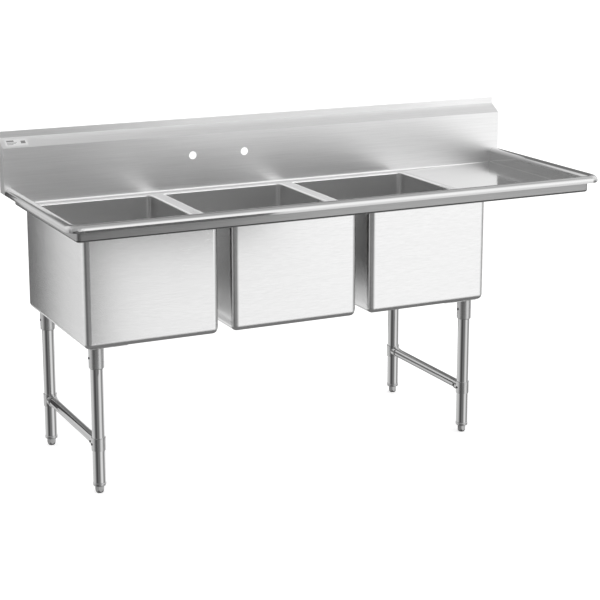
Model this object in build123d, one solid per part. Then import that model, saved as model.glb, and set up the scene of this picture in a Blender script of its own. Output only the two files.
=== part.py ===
"""Three compartment sink with a drainboard on its right, made of stainless sheet and tube.

The frame is right-handed, in millimetres: +X is the user's right, +Y goes back to the wall and
+Z is up. The origin is on the floor, at the centre of the outline seen from above.
"""
import os
from math import atan2, cos, degrees, radians

from build123d import *

# ---- Driving dimensions -------------------------------------------------------------------
sheet = 1.5                   # gauge of the bowls, the deck, the rims and the splash

# Bowls
bowl_names = ["left", "middle", "right"]
bowl_width = 457.2            # inside, left to right
bowl_run = 609.6              # inside, front to back
bowl_drop = 355.6             # deck down to the bowl's floor
bowl_corner = 19.0            # coved inside corner, upright and along the floor
mouth_bend = 5.0              # bend from the deck down into a bowl
mouth_land = 2.0              # flat beyond the bend, up to the weld with the deck
divider = 50.8                # between the insides of two bowls

# Deck, rims and drainboard
side_ledge = 25.4             # rim wall to the left bowl
front_ledge = 19.05           # rim wall to a bowl's front
back_ledge = 31.75            # a bowl's back to the splash
drainboard_run = 419.1        # right bowl to the right rim wall
drainboard_rise = 4.8         # fall of the drainboard towards the right bowl
rim_height = 914.4            # floor to the top of the rolled rim
rim_rise = 60.3               # deck to the top of the rolled rim
roll_radius = 19.05           # outside radius of the rolled rim
roll_drop = 4.0               # straight lip below the roll
rim_corner = 12.7             # upright inside corner of the rim wall
cove = 6.35                   # cove between the deck and an upright wall

# Backsplash
splash_rise = 198.6           # deck to the start of the sloping return
return_rise = 30.0
return_run = 50.8             # splash face to the wall
wall_lip = 22.2               # upright lip against the wall
faucet_spacing = 203.2
faucet_hole = 28.6
faucet_above_rim = 63.5
label_size = (80.0, 36.0)     # along the return, across it
label_inset = 15.0            # from the splash's left end
label_corner = 3.0
label_gauge = 0.3

# Drainboard channel
channel_top = 60.0            # width of the hat's crown
channel_height = 20.0
channel_brim = 20.0
channel_gap = 110.0           # from each long end to the edge of the deck

# Leg fittings
leg_diameter = 41.3
leg_wall = 1.5
leg_inset = 50.8              # bowl's outside face to a leg's axis
gusset_size = 127.0
gusset_gauge = 3.0
gusset_bevel = 45.0
gusset_margin = 21.0          # bowl's outside face to the gusset's edge
socket_length = 71.0
socket_wall = 4.3
socket_bevel = 2.5
socket_play = 0.15            # radial, around a leg
leg_top_gap = 3.0             # leg's top end below the gusset

# Cross braces
brace_diameter = 31.75
brace_wall = 1.5
brace_height = 168.0          # floor to a brace's axis
tee_height = 42.0
tee_wall = 2.5
tee_stub = 14.0               # stub beyond the tee's collar
tee_play = 0.15
brace_grip = 12.0             # brace inside a stub

# Set screws
screw_diameter = 7.9
screw_proud = 1.5
screw_socket = 4.0            # across the flats of the hexagon socket
screw_socket_depth = 3.5

# Bullet feet
foot_across = 27.0            # hexagon, across the flats
foot_height = 26.0
foot_flat = 14.0              # flat on the floor, across
nose_bulge = 0.75             # of the way from the flat to the hexagon's corners
nose_bulge_height = 0.22      # of the foot's height
nose_height = 0.62            # of the foot's height
foot_travel = 25.0
stem_diameter = 15.9
stem_play = 0.05              # radial, in the insert's thread
insert_collar = 43.2
insert_collar_height = 11.0
insert_edge = 2.5
insert_length = 28.0          # above the collar
foot_gap = 0.4                # foot's shoulder to the insert

# Drains
drain_hole = 90.0
drain_recess = 118.0
drain_recess_depth = 3.0
flange_diameter = 114.3
flange_gauge = 2.0
cup_diameter = 85.0
cup_depth = 50.0
cup_floor = 2.0
tail_diameter = 48.3
tail_bore = 41.0
tail_length = 22.0
gasket_diameter = 112.0
gasket_gauge = 3.0
locknut_diameter = 102.0
locknut_height = 9.0
locknut_lugs = 4
lug_width = 14.0
lug_reach = 7.0

# Strainer baskets
basket_gauge = 1.2
basket_play = 1.2             # radial, basket's brim in the drain's cup
basket_brim = 3.0
basket_height = 30.0
basket_hole = 5.0
wall_hole_count = 18
floor_hole_count = 12
wall_hole_rows = (0.35, 0.65)  # of the basket's height
post_diameter = 8.0
post_knob = 17.0
knob_edge = 2.8
post_above_brim = 14.0
stopper_diameter = 56.0
stopper_height = 7.0
seat_gap = 0.3                # stopper to the drain's floor, at rest

# ---- Places that follow from the dimensions -----------------------------------------------
roll_width = 2 * roll_radius
length = 2 * roll_width + side_ledge + 3 * bowl_width + 2 * divider + drainboard_run
depth = roll_width + front_ledge + bowl_run + back_ledge + return_run

x_left = -length / 2
x_right = length / 2
y_front = -depth / 2
y_back = depth / 2
y_splash = y_back - return_run

deck_z = rim_height - rim_rise
floor_z = deck_z - bowl_drop
under_z = floor_z - sheet
roll_z = rim_height - roll_radius
lip_z = roll_z - roll_drop
return_z = deck_z + splash_rise
wall_lip_z = return_z + return_rise
top_z = wall_lip_z + wall_lip

bowl_front = y_front + roll_width + front_ledge
bowl_y = bowl_front + bowl_run / 2
bowl_pitch = bowl_width + divider
bowl_xs = [x_left + roll_width + side_ledge + bowl_width / 2 + i * bowl_pitch for i in range(3)]
corner_reach = roll_width + rim_corner
deck_right = bowl_xs[2] + bowl_width / 2 + divider / 2
deck_left = x_left + roll_width + cove
deck_front = y_front + roll_width + cove
deck_back = y_splash - cove

left_leg_x = bowl_xs[0] - bowl_width / 2 - sheet + leg_inset
right_leg_x = bowl_xs[2] + bowl_width / 2 + sheet - leg_inset
front_leg_y = bowl_front - sheet + leg_inset
back_leg_y = bowl_front + bowl_run + sheet - leg_inset
legs = {
    "front_left": (left_leg_x, front_leg_y),
    "front_right": (right_leg_x, front_leg_y),
    "back_left": (left_leg_x, back_leg_y),
    "back_right": (right_leg_x, back_leg_y),
}
socket_z = under_z - gusset_gauge - socket_length
leg_bottom = foot_height + foot_gap + insert_collar_height
tee_collar = leg_diameter / 2 + tee_play + tee_wall
cup_top = floor_z - drain_recess_depth + flange_gauge
cup_bottom = cup_top - cup_depth
cup_bore = cup_diameter / 2 - sheet
gasket_z = floor_z - drain_recess_depth - sheet - gasket_gauge
basket_radius = cup_bore - basket_play - basket_brim
basket_z = cup_bottom + cup_floor + seat_gap + stopper_height


level_tolerance = 0.01        # for finding faces at a level
os.makedirs("parts", exist_ok=True)
standing = (Align.CENTER, Align.CENTER, Align.MIN)


def save(name, shape):
    """Write one node as its own STEP file."""
    shape.label = name
    export_step(shape, f"parts/{name}.step")


def tube(radius, bore, height):
    """A round tube that stands on the ground plane."""
    column = Cylinder(radius, height, align=standing)
    hole = Cylinder(bore, height, align=standing)
    return column - hole


def block(x_range, y_range, z_range):
    """A box between three pairs of coordinates."""
    low = (x_range[0], y_range[0], z_range[0])
    size = (x_range[1] - x_range[0], y_range[1] - y_range[0], z_range[1] - z_range[0])
    return Pos(*low) * Box(*size, align=(Align.MIN, Align.MIN, Align.MIN))


def strip(line):
    """The section of a sheet whose show face follows a line, with its gauge on the line's left."""
    return make_face(Wire(line.edges()).offset_2d(sheet, side=Side.LEFT).edges())


# ---- Rolled rims --------------------------------------------------------------------------
def rim_section():
    """The cove, wall and outward roll; x runs from the rim's outside towards the basin."""
    wall_low = (roll_width, deck_z + cove)
    wall_high = (roll_width, roll_z)
    turn = cove * (1 - cos(radians(45)))
    line = ThreePointArc((roll_width + cove, deck_z), (roll_width + turn, deck_z + turn), wall_low)
    line += Line(wall_low, wall_high)
    line += ThreePointArc(wall_high, (roll_radius, rim_height), (0, roll_z))
    line += Line((0, roll_z), (0, lip_z))
    return strip(line)


def rim(start, inward, run):
    """A straight rim; it runs to the user's right of the direction that points into the basin."""
    plane = Plane(origin=start, x_dir=inward, z_dir=Vector(*inward).cross(Vector(0, 0, 1)))
    return extrude(plane * rim_section(), run)


def rim_corner_piece(x_edge, side):
    """The polished corner between the front rim and a side rim; side is +1 left, -1 right."""
    pivot = Axis((x_edge + side * corner_reach, y_front + corner_reach, 0), (0, 0, 1))
    plane = Plane(origin=(x_edge, y_front + corner_reach, 0), x_dir=(side, 0, 0), z_dir=(0, -side, 0))
    return revolve(plane * rim_section(), pivot, 90 * side)


rim_left = rim((x_left, y_splash, 0), (1, 0, 0), depth - return_run - corner_reach)
rim_right = rim((x_right, y_front + corner_reach, 0), (-1, 0, 0), depth - return_run - corner_reach)
rim_front = rim((x_left + corner_reach, y_front, 0), (0, 1, 0), length - 2 * corner_reach)
save("rim_left", rim_left)
save("rim_right", rim_right)
save("rim_front", rim_front)
save("rim_corner_left", rim_corner_piece(x_left, 1))
save("rim_corner_right", rim_corner_piece(x_right, -1))


# ---- Bowls --------------------------------------------------------------------------------
def outline(growth):
    """A bowl's inside outline, seen from above and grown on every side."""
    return RectangleRounded(bowl_width + 2 * growth, bowl_run + 2 * growth, bowl_corner + growth)


def rounded_tub(growth, bottom_z):
    """A solid with the bowl's outline and a rounded bottom."""
    body = extrude(Pos(0, 0, bottom_z) * outline(growth), deck_z - bottom_z)
    return fillet(body.faces().sort_by(Axis.Z)[0].edges(), bowl_corner + growth)


def inner_edges(shell, level):
    """The inner boundary of the flat ring that lies at a level."""
    flat = shell.faces().filter_by(Axis.Z)
    ring = flat.filter_by_position(Axis.Z, level - level_tolerance, level + level_tolerance)[0]
    return ring.inner_wires()[0].edges()


def bowl():
    """A coved tub whose mouth bends out to meet the deck, with a recess for the drain."""
    tub = rounded_tub(sheet, under_z)
    flange = extrude(Pos(0, 0, deck_z - sheet) * outline(mouth_bend + mouth_land), sheet)
    shell = tub + flange
    shell = fillet(inner_edges(shell, deck_z - sheet), mouth_bend - sheet)
    recess_z = floor_z - drain_recess_depth
    boss = Cylinder(drain_recess / 2 + sheet, drain_recess_depth + sheet, align=standing)
    shell += Pos(0, 0, recess_z - sheet) * boss
    shell -= rounded_tub(0, floor_z)
    shell -= Pos(0, 0, recess_z) * Cylinder(drain_recess / 2, bowl_drop, align=standing)
    shell -= Pos(0, 0, under_z) * Cylinder(drain_hole / 2, 4 * bowl_corner)
    return fillet(inner_edges(shell, deck_z), mouth_bend)


bowl_shape = bowl()
for name, x in zip(bowl_names, bowl_xs):
    save(f"bowl_{name}", Pos(x, bowl_y, 0) * bowl_shape)


# ---- Deck and drainboard ------------------------------------------------------------------
def deck():
    """The flat ledge around and between the bowls."""
    plate = block((deck_left, deck_right), (deck_front, deck_back), (deck_z - sheet, deck_z))
    corner = plate.edges().filter_by(Axis.Z).sort_by(lambda edge: edge.center().X + edge.center().Y)[0]
    plate = fillet(corner, rim_corner - cove)
    for x in bowl_xs:
        plate -= extrude(Pos(x, bowl_y, deck_z - sheet) * outline(mouth_bend + mouth_land), sheet)
    return plate


save("deck", deck())

board_tilt = degrees(atan2(drainboard_rise, drainboard_run - divider / 2))
board_frame = Pos(deck_right, 0, deck_z) * Rot(0, -board_tilt, 0)


def basin():
    """The space above the drainboard, between the rims, the splash and their coves."""
    wall_x = x_right - roll_width
    wall_y = y_front + roll_width
    upper = block((deck_right - cove, wall_x), (wall_y, y_splash), (deck_z, roll_z))
    upright = upper.edges().filter_by(Axis.Z)
    front_right = upright.sort_by(lambda edge: edge.center().X - edge.center().Y)[-1]
    upper = fillet(front_right, rim_corner)
    foot = upper.faces().sort_by(Axis.Z)[0].edges()
    coved = foot.filter_by(lambda edge: edge.center().X > deck_right)
    upper = fillet(coved, cove)
    lower = block((deck_right, wall_x - cove), (deck_front, deck_back), (deck_z - roll_radius, deck_z))
    lower_upright = lower.edges().filter_by(Axis.Z)
    corner = lower_upright.sort_by(lambda edge: edge.center().X - edge.center().Y)[-1]
    return upper + fillet(corner, rim_corner - cove)


def drainboard():
    """A pitched sheet that drains into the right bowl and meets the coves all round."""
    run = drainboard_run + roll_width
    plate = board_frame * block((0, run), (y_front, y_back), (-sheet, 0))
    return plate & basin()


def channel():
    """The hat-shaped channel that stiffens the drainboard from below, front to back."""
    half_top = channel_top / 2
    low = -sheet - channel_height
    start = (-half_top - channel_brim, -sheet)
    line = Polyline(
        start,
        (-half_top, -sheet),
        (-half_top, low),
        (half_top, low),
        (half_top, -sheet),
        (half_top + channel_brim, -sheet),
    )
    ribbon = make_face(Wire(line.edges()).offset_2d(sheet, kind=Kind.INTERSECTION, side=Side.RIGHT).edges())
    middle = (drainboard_run - divider / 2) / 2
    back = deck_back - channel_gap
    front = deck_front + channel_gap
    plane = Plane(origin=(middle, back, 0), x_dir=(1, 0, 0), z_dir=(0, -1, 0))
    return board_frame * extrude(plane * ribbon, back - front)


save("drainboard", drainboard())
save("drainboard_channel", channel())


# ---- Backsplash ---------------------------------------------------------------------------
def splash_section():
    """Cove, upright face, sloping return and upright wall lip; x runs to the back."""
    turn = cove * (1 - cos(radians(45)))
    lip_front = y_back - sheet
    line = ThreePointArc(
        (y_splash - cove, deck_z), (y_splash - turn, deck_z + turn), (y_splash, deck_z + cove)
    )
    line += Line((y_splash, deck_z + cove), (y_splash, return_z))
    line += Line((y_splash, return_z), (lip_front, wall_lip_z))
    line += Line((lip_front, wall_lip_z), (lip_front, top_z))
    return make_face(Wire(line.edges()).offset_2d(sheet, kind=Kind.INTERSECTION, side=Side.RIGHT).edges())


def backsplash():
    """The splash sheet, cut round the side rims, with two faucet holes."""
    plane = Plane(origin=(x_left + sheet, 0, 0), x_dir=(0, 1, 0), z_dir=(1, 0, 0))
    splash = extrude(plane * splash_section(), length - 2 * sheet)
    for edge, inner in ((x_left, x_left + roll_width), (x_right, x_right - roll_width)):
        x_range = sorted((edge, inner + (cove if inner < 0 else -cove)))
        splash -= block(x_range, (y_splash - 2 * cove, y_splash), (deck_z - cove, deck_z + cove))
        outer = sorted((edge, inner))
        splash -= block(outer, (y_splash - 2 * cove, y_back), (deck_z - cove, lip_z))
    for side in (-1, 1):
        place = Pos(bowl_xs[1] + side * faucet_spacing / 2, y_splash, rim_height + faucet_above_rim)
        splash -= place * Rot(90, 0, 0) * Cylinder(faucet_hole / 2, 4 * sheet)
    return splash


def end_cap():
    """The flat plate that closes one end of the splash, back to the wall."""
    edge = Polyline(
        (y_splash, lip_z),
        (y_splash, return_z),
        (y_back - sheet, wall_lip_z),
        (y_back - sheet, top_z),
        (y_back, top_z),
        (y_back, lip_z),
        close=True,
    )
    plane = Plane(origin=(0, 0, 0), x_dir=(0, 1, 0), z_dir=(1, 0, 0))
    return extrude(plane * make_face(edge.edges()), sheet)


def blank_label():
    """A plain rating label on the left end of the sloping return."""
    slope = degrees(atan2(return_rise, return_run - sheet))
    middle_y = y_splash + (return_run - sheet) / 2
    middle_z = return_z + return_rise / 2
    middle_x = x_left + label_inset + label_size[0] / 2
    plate = RectangleRounded(label_size[0], label_size[1], label_corner)
    return Pos(middle_x, middle_y, middle_z) * Rot(slope, 0, 0) * extrude(plate, label_gauge)


save("backsplash", backsplash())
save("splash_end_left", Pos(x_left, 0, 0) * end_cap())
save("splash_end_right", Pos(x_right - sheet, 0, 0) * end_cap())
save("blank_label", blank_label())


# ---- Legs and their fittings --------------------------------------------------------------
def gusset(x_side, y_side):
    """A corner plate under a bowl; the sides point from the leg's axis into the bowl."""
    near = gusset_margin - leg_inset
    far = near + gusset_size
    corner = Polyline(
        (near, near),
        (far, near),
        (far, near + gusset_size - gusset_bevel),
        (near + gusset_size - gusset_bevel, far),
        (near, far),
        close=True,
    )
    plate = extrude(make_face(corner.edges()), gusset_gauge)
    if x_side < 0:
        plate = mirror(plate, Plane.YZ)
    if y_side < 0:
        plate = mirror(plate, Plane.XZ)
    return Pos(0, 0, under_z - gusset_gauge) * plate


def set_screw(wall):
    """A socket set screw along +X, from the face that it bears on at the origin out through a wall."""
    reach = wall + screw_proud
    body = Rot(0, 90, 0) * Cylinder(screw_diameter / 2, reach, align=standing)
    hexagon = RegularPolygon(screw_socket / 2, 6, major_radius=False)
    plane = Plane(origin=(reach, 0, 0), x_dir=(0, 1, 0), z_dir=(-1, 0, 0))
    return body - extrude(plane * hexagon, screw_socket_depth)


def screw_hole(reach):
    """The tapped hole for a set screw, from the origin along +X."""
    return Rot(0, 90, 0) * Cylinder(screw_diameter / 2, reach, align=standing)


def leg_socket():
    """A short round socket with a bevelled mouth and a set screw on its left."""
    outside = leg_diameter / 2 + socket_play + socket_wall
    body = tube(outside, leg_diameter / 2 + socket_play, socket_length)
    rim_edge = body.edges().filter_by(GeomType.CIRCLE).group_by(Axis.Z)[0].sort_by(SortBy.RADIUS)[-1]
    body = chamfer(rim_edge, socket_bevel)
    return body - Pos(0, 0, socket_length / 2) * Rot(0, 0, 180) * screw_hole(2 * outside)


def leg():
    """A plain round leg tube."""
    height = under_z - gusset_gauge - leg_top_gap - leg_bottom
    return Pos(0, 0, leg_bottom) * tube(leg_diameter / 2, leg_diameter / 2 - leg_wall, height)


def tee():
    """A collar round a leg with a stub along +Y that takes the end of a brace."""
    stub_outside = brace_diameter / 2 + tee_play + tee_wall
    stub_reach = tee_collar + tee_stub
    stub = Cylinder(stub_outside, stub_reach, align=standing)
    body = Cylinder(tee_collar, tee_height) + Rot(-90, 0, 0) * stub
    body -= Cylinder(leg_diameter / 2 + tee_play, tee_height)
    brace_seat = tee_collar + tee_stub - brace_grip
    stub_bore = Cylinder(brace_diameter / 2 + tee_play, stub_reach, align=standing)
    body -= Pos(0, brace_seat, 0) * Rot(-90, 0, 0) * stub_bore
    body -= Rot(0, 0, 180) * screw_hole(2 * tee_collar)
    return body - Pos(0, brace_seat + brace_grip / 2, 0) * Rot(0, 0, 180) * screw_hole(2 * tee_collar)


def brace(length_between):
    """A cross brace along +Y that starts at its seat in the front tee."""
    ends = tee_collar + tee_stub - brace_grip
    body = tube(brace_diameter / 2, brace_diameter / 2 - brace_wall, length_between - 2 * ends)
    return Pos(0, ends, 0) * Rot(-90, 0, 0) * body


def leg_insert():
    """The threaded insert in a leg's lower end, with a rounded collar under the tube."""
    collar = Cylinder(insert_collar / 2, insert_collar_height, align=standing)
    collar = fillet(collar.edges().filter_by(GeomType.CIRCLE), insert_edge)
    plug = Cylinder(leg_diameter / 2 - leg_wall, insert_length, align=standing)
    plug = Pos(0, 0, insert_collar_height) * plug
    bore = Cylinder(stem_diameter / 2 + stem_play, insert_collar_height + insert_length, align=standing)
    return Pos(0, 0, foot_height + foot_gap) * (collar + plug - bore)


def bullet_foot():
    """A hexagonal foot with a rounded nose and a threaded stem up into the insert."""
    hexagon = extrude(RegularPolygon(foot_across / 2, 6, major_radius=False), foot_height)
    corner_radius = foot_across / 2 / cos(radians(30))
    nose_top = foot_height * nose_height
    nose = Polyline((0, 0), (foot_flat / 2, 0))
    nose += ThreePointArc(
        (foot_flat / 2, 0),
        (foot_flat / 2 + (corner_radius - foot_flat / 2) * nose_bulge, foot_height * nose_bulge_height),
        (corner_radius, nose_top),
    )
    nose += Polyline((corner_radius, nose_top), (corner_radius, foot_height), (0, foot_height), (0, 0))
    bullet = revolve(Plane.XZ * make_face(nose.edges()), Axis.Z, 360)
    stem_top = foot_height + foot_gap + insert_collar_height + insert_length
    stem = Pos(0, 0, foot_height) * Cylinder(stem_diameter / 2, stem_top - foot_height, align=standing)
    return (hexagon & bullet) + stem


leg_face = leg_diameter / 2
socket_shape = leg_socket()
leg_shape = leg()
insert_shape = leg_insert()
foot_shape = bullet_foot()
tee_shape = tee()
leg_screw = set_screw(socket_play + socket_wall)
tee_screw = set_screw(tee_play + tee_wall)
tee_screw_places = ((leg_face, 0), (brace_diameter / 2, tee_collar + tee_stub - brace_grip / 2))
socket_screws = []
tee_screws = []
for name, (x, y) in legs.items():
    x_side = 1 if x < bowl_xs[1] else -1
    y_side = 1 if y < bowl_y else -1
    save(f"gusset_{name}", Pos(x, y, 0) * gusset(x_side, y_side))
    save(f"leg_socket_{name}", Pos(x, y, socket_z) * socket_shape)
    save(f"leg_{name}", Pos(x, y, 0) * leg_shape)
    save(f"leg_insert_{name}", Pos(x, y, 0) * insert_shape)
    save(f"bullet_foot_{name}", Pos(x, y, 0) * foot_shape)
    tee_place = Pos(x, y, brace_height) * Rot(0, 0, 90 - 90 * y_side)
    save(f"brace_tee_{name}", tee_place * tee_shape)
    socket_screws.append(Pos(x - leg_face, y, socket_z + socket_length / 2) * Rot(0, 0, 180) * leg_screw)
    for reach, along in tee_screw_places:
        tee_screws.append(tee_place * Pos(-reach, along, 0) * Rot(0, 0, 180) * tee_screw)

for side, x in (("left", left_leg_x), ("right", right_leg_x)):
    save(f"brace_{side}", Pos(x, front_leg_y, brace_height) * brace(back_leg_y - front_leg_y))
save("socket_set_screws", Compound(children=socket_screws))
save("tee_set_screws", Compound(children=tee_screws))


# ---- Drains -------------------------------------------------------------------------------
def drain_body():
    """A flanged cup with a threaded tail, dropped into the bowl's recess from above."""
    cup_height = cup_top - cup_bottom
    body = Cylinder(cup_diameter / 2, cup_height, align=standing)
    flange = Cylinder(flange_diameter / 2, flange_gauge, align=standing)
    body += Pos(0, 0, cup_height - flange_gauge) * flange
    body += Pos(0, 0, -tail_length) * Cylinder(tail_diameter / 2, tail_length, align=standing)
    body -= Pos(0, 0, cup_floor) * Cylinder(cup_bore, cup_height, align=standing)
    body -= Pos(0, 0, -tail_length) * Cylinder(tail_bore / 2, cup_height, align=standing)
    return Pos(0, 0, cup_bottom) * body


def drain_gasket():
    """The rubber ring between the bowl's underside and the locknut."""
    return Pos(0, 0, gasket_z) * tube(gasket_diameter / 2, cup_diameter / 2, gasket_gauge)


def drain_locknut():
    """A round nut with lugs that clamps the drain to the bowl."""
    nut = Cylinder(locknut_diameter / 2, locknut_height, align=standing)
    reach = locknut_diameter / 2 + lug_reach
    for turn in range(locknut_lugs):
        lug = Pos(reach / 2, 0, 0) * Box(reach, lug_width, locknut_height, align=standing)
        nut += Rot(0, 0, turn * 360 / locknut_lugs) * lug
    nut -= Cylinder(cup_diameter / 2, locknut_height, align=standing)
    return Pos(0, 0, gasket_z - locknut_height) * nut


def ring_of_holes(radius, count, hole):
    """Copies of a hole, evenly spaced on a circle."""
    step = 360 / count
    return [Rot(0, 0, i * step) * Pos(radius, 0, 0) * hole for i in range(count)]


def strainer_basket():
    """A perforated cup with a brim; the origin is on its axis, at the underside of its floor."""
    body = Cylinder(basket_radius, basket_height, align=standing)
    body -= Pos(0, 0, basket_gauge) * Cylinder(basket_radius - basket_gauge, basket_height, align=standing)
    body = fillet(body.faces().sort_by(Axis.Z)[0].edges(), basket_gauge)
    brim = tube(basket_radius + basket_brim, basket_radius - basket_gauge, basket_gauge)
    body += Pos(0, 0, basket_height - basket_gauge) * brim
    drill = Cylinder(basket_hole / 2, 4 * basket_gauge)
    side_drill = Rot(0, 90, 0) * drill
    holes = []
    for row in wall_hole_rows:
        level = Pos(0, 0, basket_height * row)
        holes += [level * hole for hole in ring_of_holes(basket_radius, wall_hole_count, side_drill)]
    holes += ring_of_holes(basket_radius - 2 * basket_hole, floor_hole_count, drill)
    body -= holes
    return body - Cylinder(post_diameter / 2, 4 * basket_gauge)


def basket_post():
    """The post and its knob, from the stopper's underside up; the origin is the basket's."""
    rod_top = basket_height + post_above_brim
    knob_height = post_diameter
    post = Pos(0, 0, -stopper_height) * Cylinder(post_diameter / 2, stopper_height + rod_top, align=standing)
    knob = Pos(0, 0, rod_top - knob_height) * Cylinder(post_knob / 2, knob_height, align=standing)
    knob = fillet(knob.edges().filter_by(GeomType.CIRCLE), knob_edge)
    return post + knob


def basket_stopper():
    """The rubber disc that closes the drain's outlet; the origin is the basket's."""
    disc = Cylinder(stopper_diameter / 2, stopper_height, align=standing)
    disc = chamfer(disc.edges().filter_by(GeomType.CIRCLE).sort_by(Axis.Z)[0], stopper_height / 3)
    return Pos(0, 0, -stopper_height) * (disc - Cylinder(post_diameter / 2, stopper_height, align=standing))


drain_shape = drain_body()
locknut_shape = drain_locknut()
basket_shape = strainer_basket()
post_shape = basket_post()
stopper_shape = basket_stopper()
gaskets = []
for name, x in zip(bowl_names, bowl_xs):
    place = Pos(x, bowl_y, 0)
    basket_place = Pos(x, bowl_y, basket_z)
    save(f"drain_body_{name}", place * drain_shape)
    save(f"drain_locknut_{name}", place * locknut_shape)
    save(f"strainer_basket_{name}", basket_place * basket_shape)
    save(f"basket_post_{name}", basket_place * post_shape)
    save(f"basket_stopper_{name}", basket_place * stopper_shape)
    gaskets.append(place * drain_gasket())
save("drain_gaskets", Compound(children=gaskets))
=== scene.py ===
"""Visual model of a three compartment sink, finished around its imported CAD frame.

The file is laid out as an add-on: settings, one operator for each group of pieces and one for the
stage, and a panel that lists them. Run as a script, it builds everything in order.
"""
import math

import bpy
import numpy as np
from bpy.props import FloatProperty, FloatVectorProperty, PointerProperty
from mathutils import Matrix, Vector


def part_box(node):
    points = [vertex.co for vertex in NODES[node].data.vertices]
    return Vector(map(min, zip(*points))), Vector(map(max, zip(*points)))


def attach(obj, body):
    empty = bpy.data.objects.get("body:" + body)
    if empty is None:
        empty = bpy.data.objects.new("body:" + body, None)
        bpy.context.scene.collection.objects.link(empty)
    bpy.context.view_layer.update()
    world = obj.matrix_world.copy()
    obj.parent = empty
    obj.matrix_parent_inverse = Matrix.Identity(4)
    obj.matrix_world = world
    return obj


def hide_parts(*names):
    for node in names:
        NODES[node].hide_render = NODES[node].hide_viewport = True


bl_info = {
    "name": "Three compartment sink",
    "version": (1, 0, 0),
    "blender": (4, 5, 0),
    "location": "3D View > Sidebar > Sink",
    "description": "Finishes, welds, threads and studio for a three compartment sink",
    "category": "Object",
}

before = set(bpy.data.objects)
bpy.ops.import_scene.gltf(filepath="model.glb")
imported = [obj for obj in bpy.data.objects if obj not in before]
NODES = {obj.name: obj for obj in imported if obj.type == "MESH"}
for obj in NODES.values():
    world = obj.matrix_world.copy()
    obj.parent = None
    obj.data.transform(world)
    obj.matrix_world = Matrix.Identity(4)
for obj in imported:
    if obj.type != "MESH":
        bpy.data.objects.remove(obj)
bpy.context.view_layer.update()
BOWLS = ("left", "middle", "right")
LEGS = ("front_left", "front_right", "back_left", "back_right")


def low_corner(node):
    """A node's lowest corner as an array."""
    return np.array(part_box(node)[0])


def high_corner(node):
    """A node's highest corner as an array."""
    return np.array(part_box(node)[1])


# Sizes of the bent sheet, in metres
SHEET = 0.0015
ROLL_RADIUS = 0.01905
RIM_CORNER = 0.0127           # upright inside corner of the rim wall
LIP_DROP = 0.0045             # a roll's axis down to where the wall's painted shade and rougher finish start
DARK_FOOT = 0.007             # height of the painted shade line along the foot of the rim wall

# Places on the rims, from the frame
ROLL_Z = float(high_corner("rim_front")[2]) - ROLL_RADIUS
LIP_Z = ROLL_Z - LIP_DROP
# top of the painted shade line along the rim wall's foot
WALL_FOOT = float(low_corner("rim_front")[2]) + DARK_FOOT
WALL_MIDDLE = 2 * ROLL_RADIUS - SHEET / 2
WALL_FRONT = float(low_corner("rim_front")[1]) + WALL_MIDDLE
WALL_LEFT = float(low_corner("rim_left")[0]) + WALL_MIDDLE
WALL_RIGHT = float(high_corner("rim_right")[0]) - WALL_MIDDLE
CORNER_MIDDLE = RIM_CORNER + SHEET / 2
CORNER_LEFT = (float(low_corner("rim_front")[0]), float(low_corner("rim_left")[1]))
CORNER_RIGHT = (float(high_corner("rim_front")[0]), float(low_corner("rim_right")[1]))


# ---- Shader maths -------------------------------------------------------------------------
class Signal:
    """A number on a shader socket that can be used in Python arithmetic."""

    def __init__(self, shader, socket):
        self.shader = shader
        self.socket = socket

    def _maths(self, operation, first, second):
        return self.shader.node("ShaderNodeMath", {"operation": operation}, {0: first, 1: second})

    def __add__(self, other):
        return self._maths("ADD", self, other)

    def __radd__(self, other):
        return self._maths("ADD", other, self)

    def __sub__(self, other):
        return self._maths("SUBTRACT", self, other)

    def __rsub__(self, other):
        return self._maths("SUBTRACT", other, self)

    def __mul__(self, other):
        return self._maths("MULTIPLY", self, other)

    def __rmul__(self, other):
        return self._maths("MULTIPLY", other, self)

    def __truediv__(self, other):
        return self._maths("DIVIDE", self, other)

    def __rtruediv__(self, other):
        return self._maths("DIVIDE", other, self)

    def __gt__(self, other):
        return self._maths("GREATER_THAN", self, other)

    def __lt__(self, other):
        return self._maths("LESS_THAN", self, other)

    def compass(self, other):
        """The angle whose tangent is this over other."""
        return self._maths("ARCTAN2", self, other)

    def step(self, low, high):
        """0 below low, 1 above high, and a smooth curve between them."""
        settings = {"interpolation_type": "SMOOTHSTEP"}
        sockets = {0: self, 1: low, 2: high, 3: 0.0, 4: 1.0}
        return self.shader.node("ShaderNodeMapRange", settings, sockets)


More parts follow.
